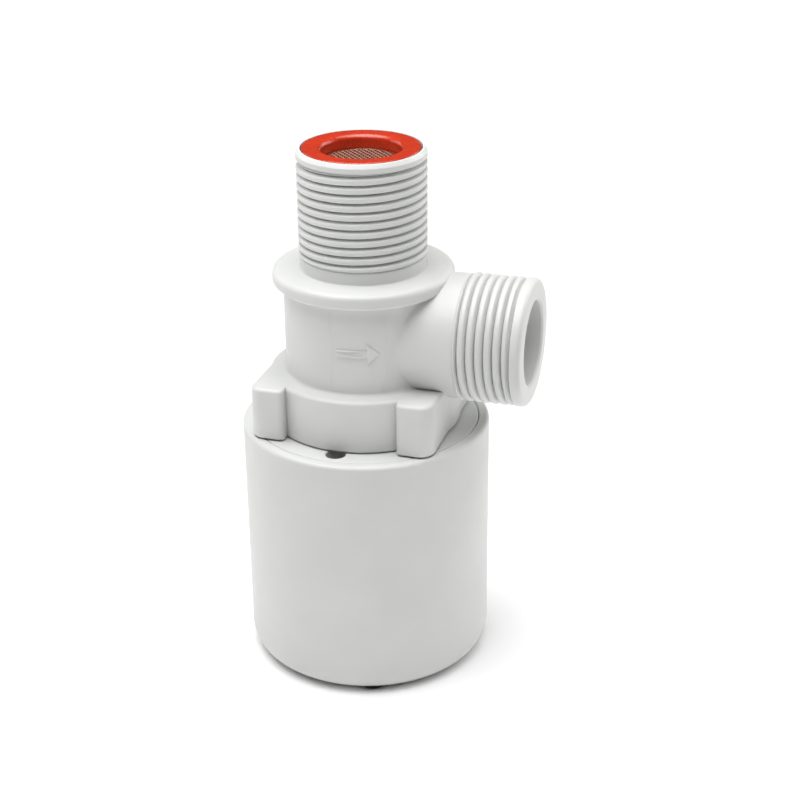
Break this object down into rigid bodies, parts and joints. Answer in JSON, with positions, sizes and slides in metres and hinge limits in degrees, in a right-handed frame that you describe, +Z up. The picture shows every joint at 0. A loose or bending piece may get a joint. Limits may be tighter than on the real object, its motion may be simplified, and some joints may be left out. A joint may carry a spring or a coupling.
{
  "type": "float valve",
  "caption": "Pilot-operated water tank float valve with threaded top inlet, red strainer, threaded side outlet, and a round chamber that holds the float.",
  "frame": {"origin": "on the axis of the float chamber, at its flat underside", "axes": "+Z up along the inlet, +X along the outlet, away from the valve"},
  "size_m": [0.0622, 0.0524, 0.1127],
  "materials": {
    "white_plastic": "moulded, satin gloss",
    "red_plastic": "moulded, satin gloss",
    "stainless_steel": "drawn wire",
    "black_rubber": "moulded, matte",
    "brass": "turned",
    "white_foam": "closed-cell foam"
  },
  "bodies": {
    "housing": {"valve_body": "white_plastic", "inlet_strainer": "red_plastic", "strainer_mesh": "stainless_steel", "float_bucket": "white_plastic", "bucket_lid": "white_plastic", "lid_gasket": "black_rubber", "lower_cover": "white_plastic", "cover_o_ring": "black_rubber", "pilot_nozzle": "brass", "bleed_pin": "stainless_steel", "lever_pin": "stainless_steel", "piston_spring": "stainless_steel"},
    "main_piston": {"piston": "white_plastic", "piston_lip_seal": "black_rubber", "main_seal": "black_rubber", "seal_retainer": "brass"},
    "pilot_arm": {"pilot_lever": "white_plastic", "pilot_pad": "black_rubber"},
    "float_unit": {"float": "white_foam", "float_yoke": "white_plastic", "yoke_screw_a": "stainless_steel", "yoke_screw_b": "stainless_steel"},
    "drain_valve": {"drain_check": "black_rubber"}
  },
  "joints": [
    {"name": "piston_slide", "type": "slide", "parent": "housing", "child": "main_piston", "axis": [0, 0, -1], "range_m": [0, 0.004], "stiffness_N_per_m": 150, "springref_m": -0.004, "deforming": ["piston_spring"]},
    {"name": "float_slide", "type": "slide", "parent": "housing", "child": "float_unit", "axis": [0, 0, 1], "range_m": [0, 0.004]},
    {"name": "lever_hinge", "type": "hinge", "parent": "housing", "child": "pilot_arm", "pos_m": [-0.009, 0, 0.0465], "axis": [0, -1, 0], "range_deg": [0, 12.1]},
    {"name": "drain_slide", "type": "slide", "parent": "housing", "child": "drain_valve", "axis": [0, 0, 1], "range_m": [0, 0.0006]}
  ],
  "couplings": [
    {"joint": "lever_hinge", "follows": "float_slide", "rad_per_m": 52.632}
  ]
}
